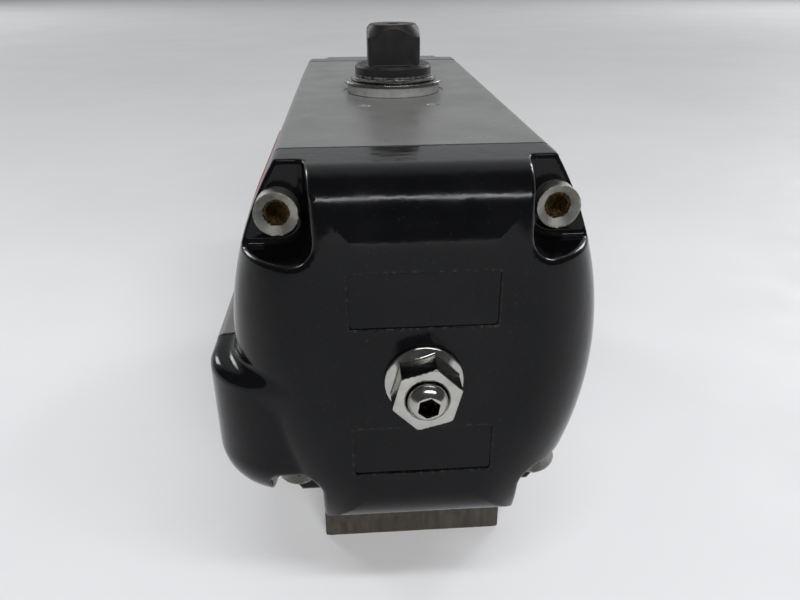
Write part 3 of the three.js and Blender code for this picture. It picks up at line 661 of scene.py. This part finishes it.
class Finish:
    """A Principled material with helpers that add procedural detail to it."""

    def __init__(self, name, **sockets):
        self.material = bpy.data.materials.new(name)
        self.material.use_nodes = True
        self.nodes = self.material.node_tree.nodes
        self.links = self.material.node_tree.links
        self.shader = self.nodes["Principled BSDF"]
        for socket, value in sockets.items():
            self.shader.inputs[socket.replace("_", " ")].default_value = value
        self.coordinates = self.nodes.new("ShaderNodeTexCoord").outputs["Object"]
        self.bumps = []

    def add(self, kind, inputs=None, **settings):
        """New node; an input may be a number, a colour or another node's output."""
        node = self.nodes.new(kind)
        for key, value in settings.items():
            setattr(node, key, value)
        for key, value in (inputs or {}).items():
            if isinstance(value, bpy.types.NodeSocket):
                self.links.new(value, node.inputs[key])
            else:
                node.inputs[key].default_value = value
        return node

    def noise(self, size, detail, stretch=(1, 1, 1), rough=0.55):
        """Noise whose features are about size millimetres across."""
        scaled = self.add("ShaderNodeMapping", {"Vector": self.coordinates, "Scale": stretch})
        node = self.add("ShaderNodeTexNoise", {"Vector": scaled.outputs[0], "Scale": 1 / (size * MM),
                                               "Detail": detail, "Roughness": rough})
        return node.outputs["Fac"]

    def mark(self, name):
        """Value of one of the marks that sculpt stored on the points."""
        return self.add("ShaderNodeAttribute", attribute_name=name).outputs["Fac"]

    def ramp(self, value, *stops):
        """Maps a value through (position, number or colour) stops."""
        node = self.add("ShaderNodeValToRGB", {"Fac": value})
        elements = node.color_ramp.elements
        while len(elements) < len(stops):
            elements.new(0.5)
        for element, (position, level) in zip(elements, stops):
            element.position = position
            colour = level if isinstance(level, tuple) else (level,) * 3
            element.color = (*colour, 1)
        return node.outputs["Color"]

    def mix(self, factor, a, b):
        """Goes from colour a to colour b as factor goes from 0 to 1."""
        node = self.add("ShaderNodeMix", data_type="RGBA")
        for socket, value in (("Factor", factor), ("A", a), ("B", b)):
            target = [s for s in node.inputs if s.name == socket and s.enabled][0]
            if isinstance(value, bpy.types.NodeSocket):
                self.links.new(value, target)
            else:
                target.default_value = (*value, 1) if isinstance(value, tuple) else value
        return [s for s in node.outputs if s.enabled][0]

    def math(self, operation, a, b):
        """Sum, product or comparison of two values; sums are kept between 0 and 1."""
        node = self.add("ShaderNodeMath", {0: a, 1: b}, operation=operation)
        node.use_clamp = operation != "MULTIPLY"
        return node.outputs[0]

    def feed(self, socket, value):
        """Leads a node's output into a socket of the shader."""
        self.links.new(value, self.shader.inputs[socket])

    def bump(self, height, depth):
        """Adds a bump of the given depth in millimetres on top of the earlier ones."""
        node = self.add("ShaderNodeBump", {"Height": height, "Distance": depth * MM})
        if self.bumps:
            self.links.new(self.bumps[-1], node.inputs["Normal"])
        self.bumps.append(node.outputs[0])
        self.feed("Normal", node.outputs[0])


def body_coat():
    """Grey anodised coat with scuffs and a faint grain, and painted shade at the cap seams.

    The end faces of the foot are a near-black brown.
    """
    f = Finish("body_coat")
    tone = f.ramp(f.noise(55, 4), (0.3, (0.115, 0.117, 0.111)), (0.7, (0.145, 0.146, 0.139)))
    scuffs = f.ramp(f.noise(5, 6, (1, 0.25, 1), 0.75), (0.62, 0.0), (0.72, 1.0))
    patches = f.ramp(f.noise(28, 2), (0.5, 0.0), (0.62, 1.0))
    scuffs = f.math("MULTIPLY", scuffs, patches)
    tone = f.mix(f.math("MULTIPLY", scuffs, 0.35), tone, (0.30, 0.30, 0.295))
    edge = f.ramp(f.mark("wear"), (0.35, 0.0), (0.9, 1.0))
    edge = f.math("MULTIPLY", edge, f.ramp(f.noise(3, 4), (0.4, 0.0), (0.6, 0.5)))
    tone = f.mix(edge, tone, (0.26, 0.26, 0.25))
    # painted shade: the body's rims next to the caps are made near black
    tone = f.mix(f.mark("seam_shade"), tone, (0.010, 0.010, 0.010))
    streaks = f.noise(3, 5, (1, 1, 0.3))
    # the end faces of the foot get a near-black brown
    foot_end_face = f.ramp(streaks, (0.3, (0.012, 0.009, 0.006)), (0.7, (0.034, 0.028, 0.021)))
    f.feed("Base Color", f.mix(f.mark("foot_end_face"), tone, foot_end_face))
    f.feed("Roughness", f.ramp(f.noise(14, 5), (0.3, 0.26), (0.75, 0.40)))
    f.bump(f.noise(0.5, 3), 0.012)
    f.bump(f.noise(9, 3), 0.03)
    return f.material


def cap_coat():
    """Glossy black powder coat with an orange-peel ripple, specks of dust and faint edge wear."""
    f = Finish("cap_coat", Specular_IOR_Level=0.17)
    tone = f.ramp(f.noise(30, 4), (0.3, (0.0010, 0.0011, 0.0014)), (0.7, (0.0026, 0.0027, 0.0031)))
    dust = f.ramp(f.noise(1.4, 5, rough=0.7), (0.62, 0.0), (0.74, 0.35))
    tone = f.mix(dust, tone, (0.030, 0.029, 0.028))
    edge = f.math("MULTIPLY", f.ramp(f.mark("wear"), (0.8, 0.0), (1.0, 1.0)),
                  f.ramp(f.noise(2, 4), (0.5, 0.0), (0.65, 0.18)))
    f.feed("Base Color", f.mix(edge, tone, (0.05, 0.049, 0.047)))
    f.feed("Roughness", f.ramp(f.noise(8, 4), (0.3, 0.10), (0.75, 0.19)))
    f.bump(f.noise(1.6, 1), 0.012)
    f.bump(f.noise(4.5, 1), 0.05)
    f.bump(f.noise(14, 2), 0.12)
    return f.material


def steel(name, low, high, rough, rust_and_shade=False, pits=0.3):
    """Metal whose tone runs from low to high; with the flag set, the mark of the same name turns it dark
    brown: rust in the socket hollows, darkened further as painted shade.
    """
    f = Finish(name, Metallic=1.0)
    tone = f.ramp(f.noise(4, 5), (0.3, low), (0.7, high))
    roughness = f.ramp(f.noise(1.6, 5), (0.3, rough[0]), (0.75, rough[1]))
    if rust_and_shade:
        ragged = f.math("ADD", f.mark("rust_and_shade"), f.ramp(f.noise(1.1, 4), (0.3, -0.25), (0.7, 0.25)))
        amount = f.ramp(ragged, (0.35, 0.0), (0.65, 1.0))
        # rust colour, kept dark as painted shade in the socket hollows
        brown = f.ramp(f.noise(0.8, 5), (0.35, (0.010, 0.007, 0.004)), (0.75, (0.12, 0.070, 0.028)))
        tone = f.mix(amount, tone, brown)
        roughness = f.mix(amount, roughness, (0.5, 0.5, 0.5))
    f.feed("Base Color", tone)
    f.feed("Roughness", roughness)
    f.bump(f.noise(0.9, 3), 0.01 * pits)
    f.bump(f.noise(3, 3), 0.04 * pits)
    return f.material


def pinion_steel():
    """Blackened steel, worn bright on its edges and brown in places."""
    f = Finish("pinion_steel", Metallic=0.6)
    tone = f.ramp(f.noise(6, 5), (0.3, (0.009, 0.009, 0.009)), (0.7, (0.021, 0.020, 0.019)))
    brown = f.ramp(f.noise(11, 5), (0.58, 0.0), (0.7, 0.5))
    tone = f.mix(brown, tone, (0.045, 0.030, 0.020))
    edge = f.math("MULTIPLY", f.ramp(f.mark("wear"), (0.35, 0.0), (0.85, 1.0)),
                  f.ramp(f.noise(1.8, 4), (0.38, 0.0), (0.6, 0.9)))
    f.feed("Base Color", f.mix(edge, tone, (0.25, 0.24, 0.22)))
    f.feed("Roughness", f.ramp(f.noise(3, 5), (0.3, 0.34), (0.75, 0.55)))
    f.bump(f.noise(0.7, 3), 0.012)
    f.bump(f.noise(2.0, 2, (1, 1, 8)), 0.01)
    return f.material


def plain(name, low, high, rough, **sockets):
    """Plastic, rubber or bare casting: mottled tone, uneven gloss and a fine grain."""
    f = Finish(name, **sockets)
    f.feed("Base Color", f.ramp(f.noise(3, 4), (0.3, low), (0.7, high)))
    f.feed("Roughness", f.ramp(f.noise(2.1, 4), (0.3, rough[0]), (0.75, rough[1])))
    f.bump(f.noise(0.6, 3), 0.01)
    return f.material


def label_print():
    """Printed label: a red field with a pale panel, and no lettering."""
    f = Finish("label", Coat_Weight=0.4, Coat_Roughness=0.15)
    parts = f.add("ShaderNodeSeparateXYZ", {"Vector": f.coordinates}).outputs
    low_y, high_y = LABEL_LOW[1] * MM, LABEL_HIGH[1] * MM
    low_z, high_z = LABEL_LOW[2] * MM, LABEL_HIGH[2] * MM
    margin = 0.004

    def inside(value, low, high):
        return f.math("MULTIPLY", f.math("GREATER_THAN", value, low), f.math("LESS_THAN", value, high))

    panel = f.math("MULTIPLY", inside(parts["Y"], low_y + margin, high_y - margin),
                   inside(parts["Z"], low_z + margin, high_z - 3.2 * margin))
    ink = f.ramp(f.noise(6, 3), (0.3, (0.33, 0.030, 0.018)), (0.7, (0.42, 0.045, 0.028)))
    paper = f.ramp(f.noise(8, 3), (0.3, (0.52, 0.52, 0.50)), (0.7, (0.62, 0.62, 0.60)))
    f.feed("Base Color", f.mix(panel, ink, paper))
    f.feed("Roughness", f.ramp(f.noise(5, 3), (0.3, 0.32), (0.7, 0.5)))
    f.bump(f.noise(1.5, 2), 0.008)
    return f.material


def make_finishes():
    """One material for each slot of the record."""
    return {
        "body_coat": body_coat(),
        "cap_coat": cap_coat(),
        "screw_steel": steel("screw_steel", (0.34, 0.33, 0.295), (0.52, 0.51, 0.46), (0.38, 0.6),
                             rust_and_shade=True, pits=1.2),
        "bright_steel": steel("bright_steel", (0.38, 0.375, 0.35), (0.50, 0.49, 0.46), (0.12, 0.26),
                              rust_and_shade=True),
        "pinion_steel": pinion_steel(),
        "washer_steel": steel("washer_steel", (0.19, 0.195, 0.18), (0.30, 0.305, 0.285), (0.22, 0.4)),
        "acetal": plain("acetal", (0.13, 0.13, 0.125), (0.18, 0.18, 0.175), (0.4, 0.55)),
        "rubber": plain("rubber", (0.008, 0.008, 0.008), (0.016, 0.016, 0.016), (0.6, 0.85)),
        "piston_aluminium": plain("piston_aluminium", (0.5, 0.51, 0.52), (0.62, 0.63, 0.64),
                                  (0.3, 0.5), Metallic=0.9),
        "label": label_print(),
    }


def floor_finish():
    """Pale matt floor with a barely uneven tone."""
    f = Finish("pale_floor", Specular_IOR_Level=0.3)
    f.feed("Base Color", f.ramp(f.noise(260, 3), (0.3, (0.70, 0.70, 0.71)), (0.7, (0.74, 0.74, 0.75))))
    f.feed("Roughness", f.ramp(f.noise(40, 3), (0.3, 0.5), (0.7, 0.65)))
    return f.material


# ---- assembly -----------------------------------------------------------------------------------

def build_body(finish):
    """Housing body; the grid is finer round its holes and edges."""
    hole_x = [s * ACCESSORY["x"] for s in (-1, 1)]
    hole_y = [s * v for s in (-1, 1) for v in (ACCESSORY["y"], PAD_HOLES["y"], PORT["y"])]
    fine_x = [*hole_x, PAD["x"] - 1.5, -TOP_HALF, TOP_HALF, -70, 0]
    fine_y = [*hole_y, -BODY_END, BODY_END, -PAD["half_y"], PAD["half_y"]]
    xs = steps(-LOBE["x"] - 2, PAD["x"] + 2, 1.7, 0.6, fine_x, 3)
    ys = steps(-BODY_END - 2, BODY_END + 1.5, 3.2, 0.6, fine_y, 3)
    zs = steps(-1.5, TOP_Z + 1.5, 1.7, 0.6, [TOP_Z - 1, 1, BORE_Z, LOBE["high"] - 1, 42], 3)
    foot_end = CAP_BASE + 4
    # the end faces of the foot under the caps get a near-black brown
    marks = {"foot_end_face": lambda x, y, z: (np.abs(y) > BODY_END - 0.3) & (z < foot_end),
             # the body's rims next to the caps take painted shade
             "seam_shade": lambda x, y, z: (np.abs(y) > BODY_END - 0.9) & (z > foot_end)}
    mesh = sculpt("housing_body", body_shape, (xs, ys, zs), 1.2, marks, (BODY_LOW, BODY_HIGH))
    place("housing_body", mesh, finish["body_coat"], "housing", "body_coat", ["body"])


def build_caps(finish):
    """Rear cap and gasket, and their mirror images at the front."""
    edge = RECESS["high"] / 2
    panel_z = [BORE_Z + up * RECESS["offset"] + side * edge for up in (-1, 1) for side in (-1, 1)]
    xs = steps(-LOBE["x"] - 1.5, SIDE_HALF + 1.5, 1.15, 0.3, [-RECESS["half"], RECESS["half"]], 1.5)
    ys = steps(CAP_START - 1.5, CAP_FACE + 1.2, 1.15, 0.3, [CAP_FACE - 0.4, CAP_START + 0.5], 1.2)
    zs = steps(CAP_BASE - 1.5, TOP_Z + 1.5, 1.15, 0.3, panel_z, 1.5)
    casting = sculpt("cap_casting", cap_shape, (xs, ys, zs), 1.5, limits=corners("rear_end_cap"))
    xs = steps(-LOBE["x"] - 2, SIDE_HALF + 2, 1.7)
    ys = steps(BODY_END - 0.6, CAP_START + 0.4, 0.3)
    zs = steps(CAP_BASE - 2, TOP_Z + 2, 1.7)
    gasket = sculpt("cap_seal", gasket_shape, (xs, ys, zs), 0.3)
    pairs = {"rear": (casting, gasket), "front": (mirrored(casting), mirrored(gasket))}
    for end, (shell, sheet) in pairs.items():
        place(f"{end}_cap_casting", shell, finish["cap_coat"], "housing", "cap_coat", [f"{end}_end_cap"])
        place(f"{end}_cap_seal", sheet, finish["rubber"], "housing", "rubber", [f"{end}_cap_gasket"])


def mirrored(mesh):
    """Copy of a mesh mirrored in Y, with its faces and corner normals turned to match."""
    twin = mesh.copy()
    normals = np.empty(len(twin.loops) * 3, dtype=np.float32)
    twin.corner_normals.foreach_get("vector", normals)
    normals = normals.reshape(-1, 4, 3)
    normals[..., 1] *= -1
    twin.transform(Matrix.Scale(-1, 4, (0, 1, 0)))
    twin.flip_normals()
    turned = normals[:, [0, 3, 2, 1]]
    twin.normals_split_custom_set(turned.reshape(-1, 3))
    return twin


def build_fasteners(finish):
    """Cap screws, lock nuts and stop screws: one mesh of each, turned round for the front end."""
    head = SCREW_HEAD["r"] + 1
    socket_r = SCREW_HEAD["socket"] / 2 + 0.4
    across = steps(-head, head, 0.42)
    length = steps(-33.5, SCREW_HEAD["high"] + 1, 1.6, 0.4, [0.5, 4.7, 9], 2.3)

    # socket walls and floor: rust, with painted shade in the hollow
    def screw_rust_and_shade(x, y, z):
        return 0.85 * (np.hypot(x, z) < socket_r) * (y < SCREW_HEAD["high"] - 0.15)

    screw = sculpt("cap_screw", cap_screw_shape, (across, length, across), 0.8, {"rust_and_shade": screw_rust_and_shade})
    across = steps(-14.2, 14.2, 0.5)
    nut = sculpt("flange_nut", nut_shape, (across, steps(-1, NUT["high"] + 1, 0.4), across), 0.6,
                 {"rust_and_shade": lambda x, y, z: 0 * x})
    across = steps(-7.4, 7.4, 0.4)
    length = steps(STOP["inner"] - 1.5, STOP["tip"] + 1, 2.2, 0.35, [STOP["tip"] - 3.5], 4.5)

    # socket walls and floor: rust, with painted shade in the hollow
    def stop_rust_and_shade(x, y, z):
        return 0.8 * (np.hypot(x, z) < STOP["socket"] / 2 + 0.3) * (y < STOP["tip"] - 0.5)

    reach = np.array((STOP["r"], STOP["tip"], STOP["r"]))
    stop = sculpt("stop_screw", stop_screw_shape, (across, length, across), 0.6, {"rust_and_shade": stop_rust_and_shade},
                  (-reach, reach))
    axis = Matrix.Translation((0, 0, BORE_Z * MM))
    for end, sign in (("rear", 1), ("front", -1)):
        turn = Matrix.Rotation(0 if end == "rear" else math.pi, 4, "Z")
        for index, tightened in enumerate(SCREW_TURNS, 1):
            node = f"{end}_cap_screw_{index}"
            low, high = (np.array(c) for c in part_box(node))
            middle = (low + high) / 2
            seat = Matrix.Translation((middle[0], sign * FLANGE_Y * MM, middle[2]))
            place(f"{node}_fine", screw, finish["screw_steel"], "housing", "screw_steel", [node],
                  seat @ turn @ Matrix.Rotation(tightened, 4, "Y"))
        low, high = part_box(f"{end}_lock_nut")
        seat_y = low[1] if end == "rear" else high[1]
        place(f"{end}_flange_nut", nut, finish["bright_steel"], "housing", "bright_steel",
              [f"{end}_lock_nut"], Matrix.Translation((0, seat_y, 0)) @ axis @ turn)
        place(f"{end}_travel_stop", stop, finish["bright_steel"], f"{end}_stop", "bright_steel",
              [f"{end}_stop_screw"], axis @ turn)


def build_pinion(finish):
    """Drive shaft with its gear, and the washers and the spring ring that lie round its collar."""
    across = steps(-JOURNAL_R - 1.4, JOURNAL_R + 1.4, 0.8)
    low, top = PINION_LOW[2], PINION_HIGH[2]
    turned = [low + 1, 26, ORING["low"], ORING["top"], 180, 183, top - 2]
    grid = (across, across, steps(low - 1.5, top + 1.2, 2.0, 0.5, turned, 2.6))
    mesh = sculpt("drive_shaft", pinion_shape, grid, 0.9, limits=(PINION_LOW, PINION_HIGH))
    place("drive_shaft", mesh, finish["pinion_steel"], "pinion", "pinion_steel", ["pinion"])
    gear = prism_mesh("gear_teeth", gear_points(), GEAR["low"], GEAR["high"])
    place("gear_teeth", gear, finish["pinion_steel"], "pinion", "pinion_steel", ["pinion"])
    for node, slot, body, edge in (("steel_washer", "washer_steel", "pinion", 0.5),
                                   ("thrust_washer", "acetal", "housing", 0.4)):
        low, high = corners(node)
        shape = ring_shape(WASHER_BORE_R, high[0], low[2], high[2], edge)
        across = steps(-high[0] - 1, high[0] + 1, 0.6)
        heights = steps(low[2] - 0.8, high[2] + 0.6, 0.35)
        mesh = sculpt(f"{node}_fine", shape, (across, across, heights), 0.6)
        place(f"{node}_fine", mesh, finish[slot], body, slot, [node])
    across = steps(-24, 24, 0.5)
    heights = steps(RING_LOW[2] - 0.6, RING_HIGH[2] + 0.5, 0.3)
    clip = sculpt("spring_ring", retaining_ring_shape, (across, across, heights), 0.4)
    place("spring_ring", clip, finish["washer_steel"], "pinion", "washer_steel", ["retaining_ring"])


def dress_frame(finish):
    """Gives every CAD node that still shows the finish of its slot."""
    for part in frame["record"]["subparts"]:
        node = frame["nodes"][part["node"]]
        if node.hide_render:
            continue
        node.data.materials.clear()
        node.data.materials.append(finish[part["material_slot"]])


def build_actuator():
    """Every visible piece, then the finishes of the CAD nodes hidden inside."""
    finish = make_finishes()
    build_body(finish)
    build_caps(finish)
    build_fasteners(finish)
    build_pinion(finish)
    place("side_label_plate", label_mesh(), finish["label"], "housing", "label", ["side_label"])
    dress_frame(finish)


# ---- studio -------------------------------------------------------------------------------------

def add_camera():
    """View down on the front end cap, nearly along the bore."""
    position = (-0.0199, -0.3456, 0.2272)
    yaw, pitch, roll = 0.065, 0.452, -0.007
    forward = np.array([math.sin(yaw) * math.cos(pitch), math.cos(yaw) * math.cos(pitch),
                        -math.sin(pitch)])
    right = np.array([math.cos(yaw), -math.sin(yaw), 0])
    up = np.cross(right, forward)
    tilted_right = right * math.cos(roll) + up * math.sin(roll)
    tilted_up = up * math.cos(roll) - right * math.sin(roll)
    data = bpy.data.cameras.new("camera")
    data.sensor_width = 36
    data.lens = 31.24
    data.clip_start = 0.01
    camera = bpy.data.objects.new("camera", data)
    camera.matrix_world = pose(tilted_right, tilted_up, -forward, position)
    bpy.context.scene.collection.objects.link(camera)
    bpy.context.scene.camera = camera


def pose(right, up, back, position):
    """Matrix that puts an object at a position with its axes along right, up and back."""
    rows = [[right[i], up[i], back[i], position[i]] for i in range(3)]
    return Matrix([*rows, [0, 0, 0, 1]])


def add_light(name, position, target, size, power, colour=(1, 1, 1)):
    """Rectangular lamp that faces a target, its long side level."""
    data = bpy.data.lights.new(name, "AREA")
    data.shape = "RECTANGLE"
    data.size, data.size_y = size
    data.energy = power
    data.color = colour
    light = bpy.data.objects.new(name, data)
    back = np.array(position) - np.array(target)
    back = back / np.linalg.norm(back)
    side = np.cross((0, 1, 0), back)
    side = side / np.linalg.norm(side)
    light.matrix_world = pose(side, np.cross(back, side), back, position)
    bpy.context.scene.collection.objects.link(light)
    return light


def add_world():
    """A room that is pale behind the object and dim overhead and in front of it."""
    world = bpy.data.worlds.new("studio")
    world.use_nodes = True
    nodes, links = world.node_tree.nodes, world.node_tree.links
    direction = nodes.new("ShaderNodeTexCoord").outputs["Generated"]
    parts = nodes.new("ShaderNodeSeparateXYZ")
    ramp = nodes.new("ShaderNodeValToRGB")
    links.new(direction, parts.inputs[0])
    links.new(parts.outputs["Y"], ramp.inputs["Fac"])
    dim, pale = (0.36, 0.10), (0.60, 0.66)
    for element, (position, level) in zip(ramp.color_ramp.elements, (dim, pale)):
        element.position = position
        element.color = (level * 0.96, level * 0.98, level, 1)
    background = nodes["Background"]
    links.new(ramp.outputs["Color"], background.inputs["Color"])
    background.inputs["Strength"].default_value = 0.8
    bpy.context.scene.world = world


def add_studio():
    """Pale floor, a ceiling tube, a fill from the front and two lamps on the floor behind."""
    floor_mesh = bpy.data.meshes.new("floor")
    reach = 6.0
    floor_corners = [(reach * x, reach * y, 0) for x, y in ((-1, -1), (1, -1), (1, 1), (-1, 1))]
    floor_mesh.from_pydata(floor_corners, [], [(0, 1, 2, 3)])
    floor_mesh.materials.append(floor_finish())
    floor = bpy.data.objects.new("floor", floor_mesh)
    bpy.context.scene.collection.objects.link(floor)

    add_world()
    add_light("ceiling_tube", (0.32, -0.65, 1.50), (0, -0.1, 0.1), (1.5, 0.12), 11, (0.95, 0.97, 1.0))
    front = add_light("front_fill", (0, -3.0, 1.3), (0, -0.1, 0), (2.8, 1.2), 150)
    front.visible_glossy = False            # lights the floor, but adds no highlight to the cap
    for number, side in ((1, -1), (2, 1)):
        add_light(f"back_wash_{number}", (3.0 * side, 3.2, 2.0), (0.6 * side, 2.4, 0), (1.2, 1.2), 46)
    bpy.context.scene.view_settings.view_transform = "Standard"


add_camera()
add_studio()
build_actuator()
